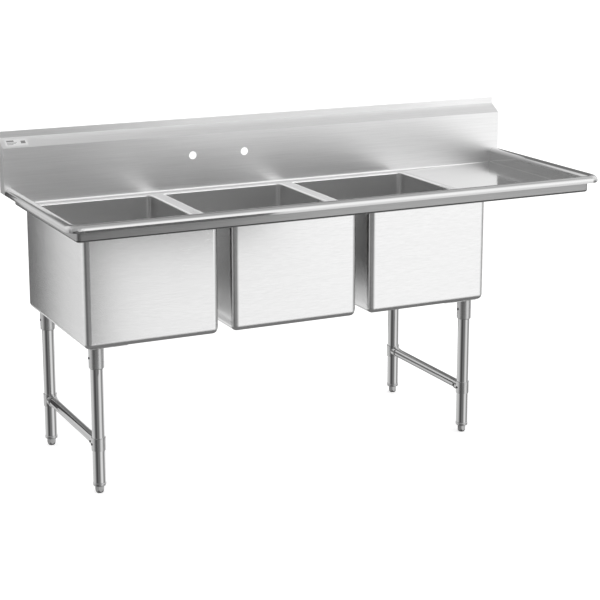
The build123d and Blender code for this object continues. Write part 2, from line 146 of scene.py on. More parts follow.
class Shader:
    """Builds one node tree; node() is the only way that a node is made."""

    def __init__(self, owner):
        owner.use_nodes = True
        self.tree = owner.node_tree
        self.tree.nodes.clear()

    def node(self, kind, settings=None, inputs=None, output=0):
        """Adds a node, sets its settings and then its sockets, and returns one output as a Signal.

        A setting called stops holds a ramp's places and grey levels.
        """
        made = self.tree.nodes.new(kind)
        for key, value in (settings or {}).items():
            if key == "stops":
                stops = made.color_ramp.elements
                for place, level in value[1:-1]:
                    stops.new(place).color = grey(level)
                for stop, (place, level) in ((stops[0], value[0]), (stops[-1], value[-1])):
                    stop.position = place
                    stop.color = grey(level)
            else:
                setattr(made, key, value)
        for key, value in (inputs or {}).items():
            if isinstance(value, Signal):
                self.tree.links.new(value.socket, made.inputs[key])
            else:
                made.inputs[key].default_value = value
        return Signal(self, made.outputs[output]) if made.outputs else made

    def place(self):
        """The position on the object, in metres."""
        return self.node("ShaderNodeTexCoord", output="Object")

    def split(self, vector):
        """The three parts of a vector."""
        parts = self.node("ShaderNodeSeparateXYZ", inputs={0: vector})
        sockets = parts.socket.node.outputs
        return [Signal(self, sockets[i]) for i in range(3)]

    def stretch(self, vector, scale):
        """A vector with each part multiplied by its own number."""
        return self.node("ShaderNodeVectorMath", {"operation": "MULTIPLY"}, {0: vector, 1: scale})

    def noise(self, vector, scale=1.0, detail=2.0, rough=0.5):
        """Smooth noise round 0.5."""
        sockets = {"Vector": vector, "Scale": scale, "Detail": detail, "Roughness": rough}
        return self.node("ShaderNodeTexNoise", {"noise_dimensions": "3D"}, sockets)

    def blend(self, factor, first, second):
        """A colour between two colours."""
        inputs = {0: factor, 6: first, 7: second}
        return self.node("ShaderNodeMix", {"data_type": "RGBA", "clamp_factor": True}, inputs, output=2)

    def bump(self, height, distance):
        """A normal tilted by a height, in shares of a distance in metres."""
        return self.node("ShaderNodeBump", {}, {"Height": height, "Distance": distance, "Strength": 1.0})

    def surface(self, sockets):
        """Ends the tree with one Principled shader."""
        made = self.node("ShaderNodeBsdfPrincipled", {}, sockets)
        self.node("ShaderNodeOutputMaterial", {}, {"Surface": made})


def grey(level, warm=0.0):
    """A nearly neutral colour; warm tips it towards red and away from blue."""
    return (level * (1 + warm), level, level * (1 - warm), 1.0)


def shade(colour, factor):
    """A colour made darker or lighter by a factor."""
    return (*(float(part) * factor for part in colour), 1.0)


def new_material(name):
    """An empty node material and its shader builder."""
    material = bpy.data.materials.new(name)
    return material, Shader(material)


# ---- Finishes -----------------------------------------------------------------------------
COARSER = 0.21                # scale of the wide streaks, as a share of the fine ones
WALL_SHADE_GREYS = (0.43, 0.49)         # darkest and lightest grey of the painted shade on the wall under a roll
FOOT_SHADE_GREY = 0.08            # grey of the painted shade line along that wall's foot
LABEL_INK = 0.30              # grey of the label's bars
LABEL_BARS = (                # left, right, low and high edge, as shares of the label
    (0.08, 0.40, 0.60, 0.82),
    (0.08, 0.52, 0.44, 0.50),
    (0.08, 0.46, 0.31, 0.37),
    (0.08, 0.34, 0.18, 0.24),
    (0.70, 0.90, 0.30, 0.70),
)


def brushed(name, colour, rough, grain, depth=1e-6, spread=0.035, sheen=0.06, smudge=0.02):
    """Brushed stainless: streaks long along the grain and fine across it, with faint handling marks.

    grain is the noise scale per metre on each axis. Streaks change the colour by a share of spread
    and the roughness by sheen, and tilt the surface by depth; handling marks change the roughness
    by smudge.
    """
    material, shader = new_material(name)
    place = shader.place()
    fine = shader.noise(shader.stretch(place, grain), rough=0.65)
    coarse = shader.noise(shader.stretch(place, [COARSER * scale for scale in grain]))
    cloud = shader.noise(place, 3.1, detail=3.0, rough=0.55)
    streak = fine * 0.75 + coarse * 0.25
    tone = shader.blend(streak.step(0.30, 0.70), shade(colour, 1 - spread), shade(colour, 1 + spread))
    matt = (streak - 0.5) * sheen + (cloud - 0.5) * (2 * smudge) + rough
    shader.surface({
        "Base Color": tone,
        "Metallic": 1.0,
        "Roughness": matt,
        "Normal": shader.bump(fine, depth),
    })
    return material


def tube_steel(name, colour, rough, grain, rings=0.0):
    """Polished round tube: long faint draw lines, and rings round it where rings is above zero."""
    material, shader = new_material(name)
    place = shader.place()
    draw = shader.noise(shader.stretch(place, grain), rough=0.6)
    cloud = shader.noise(place, 14.0, detail=3.0, rough=0.6)
    tone = shader.blend(draw.step(0.3, 0.7), shade(colour, 0.96), shade(colour, 1.04))
    matt = (draw - 0.5) * 0.08 + (cloud - 0.5) * 0.05 + rough
    height = draw
    if rings:
        turned = shader.noise(shader.stretch(place, (0.0, 0.0, 1500.0)), detail=1.0)
        height = draw * 0.3 + turned * rings
        matt = matt + (turned - 0.5) * 0.2
    shader.surface({
        "Base Color": tone,
        "Metallic": 1.0,
        "Roughness": matt,
        "Normal": shader.bump(height, 6e-6 if rings else 1e-6),
    })
    return material


def cast_metal(name, colour, rough, metal=1.0, grit=900.0, depth=2e-5):
    """Cast or plated metal with a fine grit and slow changes of tone."""
    material, shader = new_material(name)
    place = shader.place()
    grain = shader.noise(place, grit, rough=0.6)
    cloud = shader.noise(place, 45.0, detail=3.0, rough=0.6)
    tone = shader.blend(cloud.step(0.3, 0.7), shade(colour, 0.86), shade(colour, 1.1))
    shader.surface({
        "Base Color": tone,
        "Metallic": metal,
        "Roughness": (cloud - 0.5) * 0.25 + rough,
        "Normal": shader.bump(grain, depth),
    })
    return material


def rubber(name, colour):
    """Matt moulded rubber with a fine grain and a dusty bloom."""
    material, shader = new_material(name)
    place = shader.place()
    grain = shader.noise(place, 1400.0, rough=0.6)
    bloom = shader.noise(place, 70.0, detail=4.0, rough=0.6)
    shader.surface({
        "Base Color": shader.blend(bloom.step(0.35, 0.75), shade(colour, 1.0), shade(colour, 2.2)),
        "Roughness": (bloom - 0.5) * 0.2 + 0.62,
        "Normal": shader.bump(grain, 3e-5),
    })
    return material


def within(value, low, high):
    """1 where a value lies between two limits, else 0."""
    return (value > low) * (value < high)


def rim_steel(name, colour, rough, grain, wall, ground=0.0):
    """Brushed rim whose roll is polished and whose outer wall, under the roll, is left rougher, as milled,
    and painted darker as the roll's shade.

    wall takes the place's x and y and gives 1 on the outside of the upright wall, which has a painted
    shade line along its foot. ground is the depth of the facets that a weld's grinding leaves on a corner.
    """
    material, shader = new_material(name)
    place = shader.place()
    x, y, z = shader.split(place)
    # painted shade and roughness: where this mask is 1, the wall under the roll takes darker greys that
    # stand in for the roll's shade, and more roughness
    milled = wall(x, y) * (z < LIP_Z)
    fine = shader.noise(shader.stretch(place, grain), rough=0.65)
    cloud = shader.noise(place, 5.0, detail=3.0, rough=0.55)
    streak = fine.step(0.3, 0.7)
    bright = shader.blend(streak, shade(colour, 0.97), shade(colour, 1.03))
    # painted shade of the wall under the roll
    painted_shade = shader.blend(streak, *(grey(level) for level in WALL_SHADE_GREYS))
    # a darker painted shade line along the wall's foot
    painted_shade = shader.blend(z < WALL_FOOT, painted_shade, grey(FOOT_SHADE_GREY))
    matt = (fine - 0.5) * 0.12 + (cloud - 0.5) * 0.06 + milled * 0.26 + rough
    if ground:
        normal = shader.bump(shader.noise(place, 95.0, detail=1.0, rough=0.4), ground)
    else:
        normal = shader.bump(fine, 1.5e-6)
    shader.surface({
        "Base Color": shader.blend(milled, bright, painted_shade),
        "Metallic": 1.0,
        "Roughness": matt,
        "Normal": normal,
    })
    return material


def label_film(name, colour):
    """White label film with a fine fibre, printed with plain grey bars."""
    material, shader = new_material(name)
    place = shader.place()
    fibre = shader.noise(shader.stretch(place, (300.0, 300.0, 1200.0)), rough=0.6)
    low, high = low_corner("blank_label"), high_corner("blank_label")
    x, y, z = shader.split(place)
    along = (x - float(low[0])) / float(high[0] - low[0])
    up = (z - float(low[2])) / float(high[2] - low[2])
    ink = sum(within(along, *bar[:2]) * within(up, *bar[2:]) for bar in LABEL_BARS)
    film = shader.blend(fibre.step(0.3, 0.7), shade(colour, 0.96), shade(colour, 1.0))
    shader.surface({
        "Base Color": shader.blend(ink, film, grey(LABEL_INK)),
        "Roughness": (fibre - 0.5) * 0.2 + 0.45,
        "Normal": shader.bump(fibre, 4e-6),
    })
    return material


def beyond(pivot):
    """The test for the outside of a rim corner's wall: farther from its axis than its middle."""
    def outside(x, y):
        across, along = x - pivot[0], y - pivot[1]
        return across * across + along * along > CORNER_MIDDLE ** 2
    return outside


def finishes(tones):
    """One material for each finish on the sink, in the colours that the settings give.

    The grains are noise scales per metre on each axis, small along the streaks.
    """
    along_x = (7.0, 320.0, 320.0)
    along_y = (320.0, 7.0, 320.0)
    level_walls = (28.0, 28.0, 280.0)
    cloudy = (60.0, 60.0, 60.0)
    drawn = (500.0, 500.0, 7.0)
    facet_depth = 1.6e-3
    return {
        "bowl": brushed("bowl_brushed", tones.bowl, 0.26, level_walls),
        "deck": brushed("deck_brushed", tones.deck, 0.22, along_x),
        "drainboard": brushed("drainboard_brushed", tones.drainboard, 0.12, along_x),
        "channel": brushed("channel_mill", tones.mill, 0.34, along_y),
        "rim_front": rim_steel(
            "rim_front_polished", tones.rim, 0.13, along_x, lambda x, y: y < WALL_FRONT),
        "rim_left": rim_steel(
            "rim_left_polished", tones.rim, 0.13, along_y, lambda x, y: x < WALL_LEFT),
        "rim_right": rim_steel(
            "rim_right_polished", tones.rim, 0.13, along_y, lambda x, y: x > WALL_RIGHT),
        "corner_left": rim_steel(
            "corner_left_polished", tones.rim, 0.06, cloudy, beyond(CORNER_LEFT), facet_depth),
        "corner_right": rim_steel(
            "corner_right_polished", tones.rim, 0.06, cloudy, beyond(CORNER_RIGHT), facet_depth),
        "splash": brushed("splash_brushed", tones.splash, 0.35, along_x),
        "label": label_film("label_film", tones.label),
        "gusset": brushed("gusset_mill", tones.mill, 0.36, (160.0, 160.0, 12.0)),
        "socket": tube_steel("socket_satin", tones.fitting, 0.30, (300.0, 300.0, 20.0), rings=0.5),
        "insert": cast_metal("insert_turned", tones.fitting, 0.32),
        "leg": tube_steel("leg_polished", tones.leg, 0.045, drawn),
        "tee": tube_steel("tee_machined", tones.fitting, 0.22, (200.0, 200.0, 20.0), rings=1.0),
        "brace": tube_steel("brace_polished", tones.brace, 0.06, (500.0, 7.0, 500.0)),
        "screw": cast_metal("screw_black_oxide", tones.screw, 0.36, metal=0.7),
        "foot": cast_metal("foot_turned", tones.foot, 0.12, grit=500.0, depth=6e-6),
        "drain": cast_metal("drain_stamped", tones.fitting, 0.26, grit=500.0, depth=8e-6),
        "locknut": cast_metal("locknut_zinc", tones.locknut, 0.5),
        "gasket": rubber("gasket_rubber", tones.rubber),
        "basket": cast_metal("basket_stamped", tones.fitting, 0.24, grit=600.0, depth=8e-6),
        "post": cast_metal("post_chrome", tones.chrome, 0.08, grit=300.0, depth=1e-6),
        "stopper": rubber("stopper_rubber", tones.rubber),
    }


NODE_FINISH = {
    "bowl_": "bowl", "deck": "deck", "drainboard": "drainboard", "drainboard_channel": "channel",
    "rim_left": "rim_left", "rim_right": "rim_right", "rim_front": "rim_front",
    "rim_corner_left": "corner_left", "rim_corner_right": "corner_right",
    "backsplash": "splash", "splash_end_": "splash", "blank_label": "label", "gusset_": "gusset",
    "leg_socket_": "socket", "leg_insert_": "insert", "leg_": "leg", "bullet_foot_": "foot",
    "brace_tee_": "tee", "brace_": "brace", "socket_set_screws": "screw", "tee_set_screws": "screw",
    "drain_body_": "drain", "drain_locknut_": "locknut", "drain_gaskets": "gasket",
    "strainer_basket_": "basket", "basket_post_": "post", "basket_stopper_": "stopper",
}


def finish_of(node):
    """The finish with the longest prefix that fits a node's name."""
    keys = [key for key in NODE_FINISH if node.startswith(key)]
    if not keys:
        raise RuntimeError(f"no finish for node {node}")
    return NODE_FINISH[max(keys, key=len)]


# ---- Studio -------------------------------------------------------------------------------
# Brightness of the studio round the sink, by compass angle: 0 behind the sink, 0.25 to its
# right, 0.5 in front and 0.75 to its left. The low ring lies just below eye level, the high
# ring above it.
LOW_RING = (
    (0.000, 0.80), (0.111, 0.78), (0.194, 0.95), (0.277, 0.21), (0.338, 0.51), (0.394, 1.04),
    (0.444, 0.96), (0.492, 0.47), (0.537, 0.18), (0.582, 0.24), (0.626, 0.10), (0.672, 0.08),
    (0.721, 0.25), (0.769, 0.62), (0.829, 0.72), (0.905, 0.80), (1.000, 0.80),
)
HIGH_RING = (
    (0.000, 0.22), (0.100, 0.25), (0.150, 0.90), (0.180, 1.15), (0.260, 0.90), (0.330, 1.25),
    (0.390, 1.38), (0.450, 1.28), (0.520, 0.90), (0.600, 0.50), (0.720, 0.45), (0.800, 0.80),
    (0.880, 1.00), (0.945, 0.95), (0.975, 0.30), (1.000, 0.22),
)
SIDE_BAND = (-0.12, 0.28)     # heights, as sines, between which the low ring turns into the high one
CEILING_BAND = (0.60, 0.92)   # and the high ring into the ceiling
GROUND_BAND = (-0.66, -0.42)  # and the ground into the low ring
RAMP_SCALE = 1.5              # the ramps hold the levels divided by this, and are multiplied back

# Grey cards that show only in reflections: name, two opposite corners in metres, and brightness
# in shares of the darkest card's.
CARDS = (
    ("card_back_left", (-1.15, 0.66, 0.05), (-1.15, 3.40, 1.00), 1.0),
    ("card_front_left", (-1.60, -1.25, 0.10), (-0.56, -1.25, 0.60), 4.0),
    ("card_front_high", (-1.60, -1.25, 0.62), (0.10, -1.25, 1.02), 2.4),
    ("card_back_low", (-0.30, 1.00, 0.00), (0.12, 1.00, 0.45), 4.0),
    ("card_gap", (-1.02, 1.00, 0.20), (-0.74, 1.00, 0.62), 6.0),
)


def build_world(ceiling, ground):
    """Soft studio: a ring of flags and soft boxes at eye level, a bright ceiling, a dim ground."""
    world = bpy.data.worlds.new("studio")
    bpy.context.scene.world = world
    shader = Shader(world)
    x, y, z = shader.split(shader.node("ShaderNodeTexCoord", output="Generated"))
    compass = (x * -1.0).compass(y * -1.0) / (2 * math.pi) + 0.5
    rings = []
    for levels in (LOW_RING, HIGH_RING):
        stops = [(place, level / RAMP_SCALE) for place, level in levels]
        ramp = shader.node("ShaderNodeValToRGB", {"stops": stops}, {0: compass})
        scaled = {0: ramp, 3: RAMP_SCALE}
        rings.append(shader.node("ShaderNodeVectorMath", {"operation": "SCALE"}, scaled))
    sides = shader.blend(z.step(*SIDE_BAND), rings[0], rings[1])
    upward = shader.blend(z.step(*CEILING_BAND), sides, grey(ceiling))
    whole = shader.blend(z.step(*GROUND_BAND), grey(ground), upward)
    seen = shader.node("ShaderNodeLightPath")
    colour = shader.blend(seen, whole, grey(1.0))
    light = shader.node("ShaderNodeBackground", {}, {"Color": colour, "Strength": 1.0})
    shader.node("ShaderNodeOutputWorld", {}, {"Surface": light})


def build_floor(half, tone, glow):
    """A flat pale floor, a grid of points at height zero, that catches the contact shadows."""
    side = np.linspace(-half, half, 9)
    across, along = np.meshgrid(side, side, indexing="ij")
    points = np.stack([across, along, np.zeros_like(across)], axis=-1)
    floor = grid_piece("studio_floor", points)
    material, shader = new_material("floor_paper")
    cloud = shader.noise(shader.place(), 2.0)
    shader.surface({
        "Base Color": shader.blend(cloud.step(0.2, 0.8), grey(tone - 0.01), grey(tone)),
        "Roughness": 0.9,
        "Emission Color": (1.0, 1.0, 1.0, 1.0),
        "Emission Strength": glow,
    })
    floor.data.materials.append(material)
    floor.visible_glossy = False


def build_card(name, low, high, tone):
    """A grey card that shows only in reflections: a flat upright grid between two corners."""
    corner, reach = np.array(low), np.array(high) - np.array(low)
    across, up = np.meshgrid(np.linspace(0, 1, 5), np.linspace(0, 1, 5), indexing="ij")
    points = corner + reach * np.stack([across, across, up], axis=-1)
    card = grid_piece(name, points)
    material, shader = new_material(name + "_felt")
    nap = shader.noise(shader.place(), 60.0)
    shader.surface({
        "Base Color": grey(0.02),
        "Roughness": 1.0,
        "Emission Color": shader.blend(nap, grey(0.95 * tone), grey(1.05 * tone)),
        "Emission Strength": 1.0,
    })
    card.data.materials.append(material)
    card.visible_camera = False
    card.visible_diffuse = False
    card.visible_shadow = False


def build_camera(place, yaw, pitch, lens, drop):
    """A level camera turned yaw from straight ahead and tipped pitch down, its lens shifted by drop."""
    data = bpy.data.cameras.new("camera")
    camera = bpy.data.objects.new("camera", data)
    bpy.context.scene.collection.objects.link(camera)
    camera.location = place
    camera.rotation_euler = (math.pi / 2 - pitch, 0.0, -yaw)
    data.lens = lens
    data.shift_y = drop
    data.sensor_width = 36.0
    data.clip_end = 200.0
    bpy.context.scene.camera = camera


# ---- Mesh making --------------------------------------------------------------------------
ROWS_PER_PITCH = 8            # rings in one pitch of a thread
BEAD_SIDES = 10               # points round a bead's section
BEAD_TIP = 0.01               # square of the share of its size that an open bead keeps at its ends


def grid_quads(rows, columns, wrap_u, wrap_v):
    """The quads that join each point of a grid to its neighbours along i and j.

    wrap_u or wrap_v also joins the last row to the first along i or j.
    """
    i = np.arange(rows if wrap_u else rows - 1)[:, None]
    j = np.arange(columns if wrap_v else columns - 1)[None, :]
    after_i = (i + 1) % rows
    after_j = (j + 1) % columns
    corners = (i * columns + j, after_i * columns + j, after_i * columns + after_j, i * columns + after_j)
    spread = [np.broadcast_to(corner, (i.size, j.size)) for corner in corners]
    return np.stack(spread, axis=-1).reshape(-1, 4)


def mesh_piece(name, points, faces):
    """A mesh object at the origin, in the scene."""
    mesh = bpy.data.meshes.new(name)
    mesh.from_pydata(points, [], faces)
    mesh.update()
    made = bpy.data.objects.new(name, mesh)
    bpy.context.scene.collection.objects.link(made)
    return made


def grid_piece(name, points):
    """An open sheet: points[i, j] is joined to its neighbours along i and j."""
    rows, columns = points.shape[:2]
    return mesh_piece(name, points.reshape(-1, 3), grid_quads(rows, columns, False, False))


def skin_faces(rings, ringed, base):
    """The faces of one closed skin whose first point is number base.

    rings[i, j] runs along i and round j. A ringed skin joins its last ring to its first; any other
    has a flat cap on each end. The sum of its faces' triple products, about its middle, is six
    times its volume, and all faces are turned round where that is below zero.
    """
    rows, columns = rings.shape[:2]
    points = rings.reshape(-1, 3)
    quads = grid_quads(rows, columns, ringed, True)
    a, b, c, d = ((points - points.mean(axis=0))[quads[:, k]] for k in range(4))
    volume = np.einsum("ij,ij->", np.cross(a, b), c) + np.einsum("ij,ij->", np.cross(a, c), d)
    first_ring = np.arange(columns)
    caps = [] if ringed else [first_ring, (rows - 1) * columns + first_ring[::-1]]
    if volume < 0:
        quads = quads[:, ::-1]
        caps = [cap[::-1] for cap in caps]
    return (quads + base).tolist() + [(cap + base).tolist() for cap in caps]


def skin_piece(name, skins, body, material, crease=35.0):
    """A piece of one or more closed skins, each given as its rings and whether it is ringed.

    Edges sharper than crease, in degrees, stay sharp. The piece rides on a body and takes its
    finish from a material slot.
    """
    points, faces, base = [], [], 0
    for rings, ringed in skins:
        faces += skin_faces(rings, ringed, base)
        points.append(rings.reshape(-1, 3))
        base += len(points[-1])
    made = mesh_piece(name, np.concatenate(points), faces)
    made.data.shade_smooth()
    made.data.set_sharp_from_angle(angle=math.radians(crease))
    made.data.materials.append(material)
    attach(made, body)
    return made


def bead_rings(path, out, width, height, pitch, ringed=False):
    """The rings of a weld bead carried along a path.

    The section is an ellipse, width wide, height high above the path and a third as deep below it.
    It shrinks by a sixth in the middle of each ripple, which is a pitch long, and an open bead
    tapers to nearly nothing at its ends.
    """
    before = np.roll(path, 1, axis=0) if ringed else np.vstack([path[:1], path[:-1]])
    after = np.roll(path, -1, axis=0) if ringed else np.vstack([path[1:], path[-1:]])
    tangent = after - before
    tangent /= np.linalg.norm(tangent, axis=1)[:, None]
    out = np.broadcast_to(out, path.shape)
    side = np.cross(tangent, out)
    side /= np.linalg.norm(side, axis=1)[:, None]
    run = np.concatenate([[0.0], np.cumsum(np.linalg.norm(np.diff(path, axis=0), axis=1))])
    size = 1.0 - np.abs(np.sin(np.pi * run / pitch)) / 6.0
    if not ringed:
        size = size * np.sqrt(np.clip(np.minimum(run, run[-1] - run) / width, BEAD_TIP, 1.0))
    angle = np.linspace(0.0, 2 * np.pi, BEAD_SIDES, endpoint=False)
    across = np.cos(angle) * width / 2
    rise = np.where(np.sin(angle) > 0, 1.0, 1 / 3) * np.sin(angle) * height
    section = side[:, None] * across[None, :, None] + out[:, None] * rise[None, :, None]
    return path[:, None] + size[:, None, None] * section


def straight(start, end, spacing):
    """Points from start to end, spacing apart."""
    start, end = np.array(start, float), np.array(end, float)
    steps = max(int(np.linalg.norm(end - start) / spacing), 4)
    return start + np.linspace(0, 1, steps + 1)[:, None] * (end - start)


def arc(centre, radius, first, last, spacing, plane):
    """Points on an arc from angle first to last; plane names the two axes it turns in."""
    steps = max(int(abs(last - first) * radius / spacing), 8)
    whole_turn = math.isclose(abs(last - first), 2 * math.pi)
    angle = np.linspace(first, last, steps, endpoint=not whole_turn)
    points = np.tile(np.array(centre, float), (steps, 1))
    points[:, plane[0]] += radius * np.cos(angle)
    points[:, plane[1]] += radius * np.sin(angle)
    return points


def thread_rings(centre, root, crest, pitch, low, high, sides):
    """The rings of an outside thread round an upright axis.

    The radius is the root's plus the crest's height times a triangle wave of height over pitch
    less the turn's fraction; it fades to the root over one pitch at each end.
    """
    rows = int((high - low) / pitch * ROWS_PER_PITCH)
    height = np.linspace(low, high, rows)[:, None]
    turn = np.linspace(0.0, 2 * np.pi, sides, endpoint=False)[None, :]
    phase = (height / pitch - turn / (2 * np.pi)) % 1.0
    wave = 1.0 - np.abs(2.0 * phase - 1.0)
    fade = np.clip(np.minimum(height - low, high - height) / pitch, 0.0, 1.0)
    radius = root + (crest - root) * wave * fade
    x = centre[0] + radius * np.cos(turn)
    y = centre[1] + radius * np.sin(turn)
    return np.stack([x, y, np.broadcast_to(height, x.shape)], axis=-1)


# ---- Pieces -------------------------------------------------------------------------------
# Places of the welds, in metres, and shares of a bead's size or of an edge's length
DIAGONAL = math.sqrt(0.5)
LEG_SIDE_STITCHES = (0.12, 0.60)   # where stitches start along a plate's edge beside its leg
FAR_SIDE_STITCHES = (0.18,)        # and along the opposite edge
DRESSED_WIDTH = 1.5
DRESSED_HEIGHT = 0.6
DRESSED_INSET = 0.0004             # the dressed bead's path, before the splash
DRESSED_END = 0.05                 # angle left free at each end of the dressed bead
BRIM_WIDTH = 0.8
BRIM_HEIGHT = 0.7
BRIM_INSET = 0.0006                # below the top of the channel's brim
BRIM_OUT = (0.6, 0.8)              # a brim bead's direction: away from the channel, down
CHANNEL_HEIGHT = 0.0215            # crown to brim, with the sheet
STITCH_FIRST = 0.02                # the channel's front end to its first stitch
STITCH_LAST = 0.05                 # least distance from a stitch's start to the channel's back end
STITCH_EVERY = 0.09

# Places of the threads, in metres
THREAD_LIFT = 1e-5                 # a thread's root outside the turned surface
THREAD_START = 0.001               # a tail's end to its thread
CUP_START = 0.006                  # a cup's underside to its thread
STEM_OVERLAP = 0.001               # a stem's thread sunk in the foot's shoulder

# Points round each turned shape, and rows of points up a foot's nose and flanks
TAIL_SIDES = 48
CUP_SIDES = 72
STEM_SIDES = 40
FOOT_SIDES = 96
NOSE_ROWS = 16
FLANK_ROWS = 10

# Shape of a foot, as shares of its height
NOSE_TOP = 0.62
FLANK_START = 0.66
CHAMFER_START = 0.93
CHAMFER_SLOPE = 1.2                # how far the chamfer comes in for each metre that it rises


def socket_weld(leg, settings, material):
    """The bead round the top of a leg's socket, under its corner plate."""
    low, high = low_corner(f"leg_socket_{leg}"), high_corner(f"leg_socket_{leg}")
    plate_under = float(low_corner(f"gusset_{leg}")[2])
    middle = (low_corner(f"leg_{leg}") + high_corner(f"leg_{leg}")) / 2
    centre = (middle[0], middle[1], plate_under)
    radius = (high[1] - low[1]) / 2
    ring = arc(centre, radius, 0.0, 2 * math.pi, settings.bead_step, (0, 1))
    away = ring - np.array(centre)
    out = DIAGONAL * (away / np.linalg.norm(away, axis=1)[:, None] + np.array([0.0, 0.0, -1.0]))
    rings = bead_rings(ring, out, settings.bead_width, settings.bead_height, settings.ripple, ringed=True)
    return skin_piece(f"weld_socket_{leg}", [(rings, True)], "sink", material)


def outer_side(leg, axis):
    """-1 where a leg stands on the left (axis 0) or in front (axis 1) of the sink, else 1."""
    low_side = leg.endswith("left") if axis == 0 else leg.startswith("front")
    return -1.0 if low_side else 1.0


def gusset_weld(leg, settings, material):
    """Stitches of bead along the straight edges of a corner plate, against the bowl's underside."""
    low, high = low_corner(f"gusset_{leg}"), high_corner(f"gusset_{leg}")
    skins = []
    for axis, other in ((0, 1), (1, 0)):
        outer, inward = outer_side(leg, other), -outer_side(leg, axis)
        corner = low[axis] if inward > 0 else high[axis]
        for edge, facing in ((low[other], -1.0), (high[other], 1.0)):
            out = np.array([0.0, 0.0, -DIAGONAL])
            out[other] = facing * DIAGONAL
            for share in LEG_SIDE_STITCHES if facing == outer else FAR_SIDE_STITCHES:
                first = np.array([0.0, 0.0, high[2]])
                first[other] = edge
                first[axis] = corner + inward * share * (high[axis] - low[axis])
                last = first.copy()
                last[axis] += inward * settings.stitch
                path = straight(first, last, settings.bead_step)
                rings = bead_rings(path, out, settings.bead_width, settings.bead_height, settings.ripple)
                skins.append((rings, False))
    return skin_piece(f"weld_gusset_{leg}", skins, "sink", material)


def roll_weld(side, settings, material):
    """The dressed bead where a side roll meets the splash: half a turn round the roll."""
    low, high = low_corner(f"rim_{side}"), high_corner(f"rim_{side}")
    width, height = settings.bead_width * DRESSED_WIDTH, settings.bead_height * DRESSED_HEIGHT
    edge = low[0] + ROLL_RADIUS if side == "left" else high[0] - ROLL_RADIUS
    centre = np.array([edge, high[1] - DRESSED_INSET, ROLL_Z])
    ends = (DRESSED_END, math.pi - DRESSED_END)
    path = arc(centre, ROLL_RADIUS - height, *ends, settings.bead_step, (0, 2))
    out = (path - centre) / np.linalg.norm(path - centre, axis=1)[:, None]
    one_ripple = 10 * settings.stitch      # far longer than the bead, so that none shows
    rings = bead_rings(path, out, width, height, one_ripple)
    return skin_piece(f"weld_roll_{side}", [(rings, False)], "sink", material)


def channel_weld(settings, material):
    """Stitches down both brims of the drainboard's channel, which rises with the drainboard."""
    low, high = low_corner("drainboard_channel"), high_corner("drainboard_channel")
    width, height = settings.bead_width * BRIM_WIDTH, settings.bead_height * BRIM_HEIGHT
    slope = (high[2] - low[2] - CHANNEL_HEIGHT) / (high[0] - low[0])
    starts = np.arange(low[1] + STITCH_FIRST, high[1] - STITCH_LAST, STITCH_EVERY)
    skins = []
    for edge, facing in ((low[0], -1.0), (high[0], 1.0)):
        brim = high[2] - (high[0] - edge) * slope - BRIM_INSET
        out = np.array([facing * BRIM_OUT[0], 0.0, -BRIM_OUT[1]])
        for start in starts:
            path = straight((edge, start, brim), (edge, start + settings.stitch, brim), settings.bead_step)
            skins.append((bead_rings(path, out, width, height, settings.ripple), False))
    return skin_piece("weld_channel", skins, "sink", material)


def drain_threads(bowl, settings, material):
    """The threads on a drain's tail and on its cup, under the locknut."""
    low, high = low_corner(f"drain_body_{bowl}"), high_corner(f"drain_body_{bowl}")
    nut_low = float(low_corner(f"drain_locknut_{bowl}")[2])
    centre = (low[:2] + high[:2]) / 2
    cup_low = low[2] + settings.tail_length
    pitch = settings.thread_pitch
    skins = []
    for radius, start, end, sides in (
            (settings.tail_radius, low[2] + THREAD_START, cup_low, TAIL_SIDES),
            (settings.cup_radius, cup_low + CUP_START, nut_low, CUP_SIDES)):
        crest = radius + settings.thread_depth
        skins.append((thread_rings(centre, radius + THREAD_LIFT, crest, pitch, start, end, sides), False))
    return skin_piece(f"thread_drain_{bowl}", skins, "sink", material, crease=60.0)


def threaded_foot(leg, settings, material):
    """A bullet foot: a hexagon cut by a turned nose and shoulder, under a threaded stem.

    The hexagon's radius at a turn is half its width over the cosine of the turn from the middle of
    the nearest flat. The nose is a quarter ellipse from the flat on the floor out to the hexagon's
    corners, and the shoulder a chamfer. The smallest of the three radii is kept.
    """
    node = f"bullet_foot_{leg}"
    low, high = low_corner(node), high_corner(node)
    centre = (low[:2] + high[:2]) / 2
    half = settings.foot_across / 2
    corner = half / math.cos(math.radians(30))
    turn = np.linspace(0.0, 2 * np.pi, FOOT_SIDES, endpoint=False)[None, :]
    flat_turn = turn % (np.pi / 3) - np.pi / 6
    hexagon = half / np.cos(flat_turn)
    nose_levels = np.linspace(0.0, NOSE_TOP, NOSE_ROWS)
    flank_levels = np.linspace(FLANK_START, 1.0, FLANK_ROWS)
    level = np.concatenate([nose_levels, flank_levels])[:, None]
    rounded = np.sqrt(1.0 - (1.0 - np.clip(level / NOSE_TOP, 0.0, 1.0)) ** 2)
    nose = settings.foot_flat / 2 + (corner - settings.foot_flat / 2) * rounded
    chamfer = np.clip(level - CHAMFER_START, 0.0, 1.0) * settings.foot_height
    radius = np.minimum(np.minimum(hexagon, nose), corner - CHAMFER_SLOPE * chamfer)
    height = low[2] + level * settings.foot_height
    x = centre[0] + radius * np.cos(turn)
    y = centre[1] + radius * np.sin(turn)
    body = np.stack([x, y, np.broadcast_to(height, x.shape)], axis=-1)
    root = settings.stem_radius - settings.stem_depth
    stem_low = low[2] + settings.foot_height - STEM_OVERLAP
    stem = thread_rings(
        centre, root, settings.stem_radius, settings.stem_pitch, stem_low, high[2], STEM_SIDES)
    skins = [(body, False), (stem, False)]
    made = skin_piece(f"foot_threaded_{leg}", skins, f"foot_{leg}", material, crease=30.0)
    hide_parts(node)
    return made


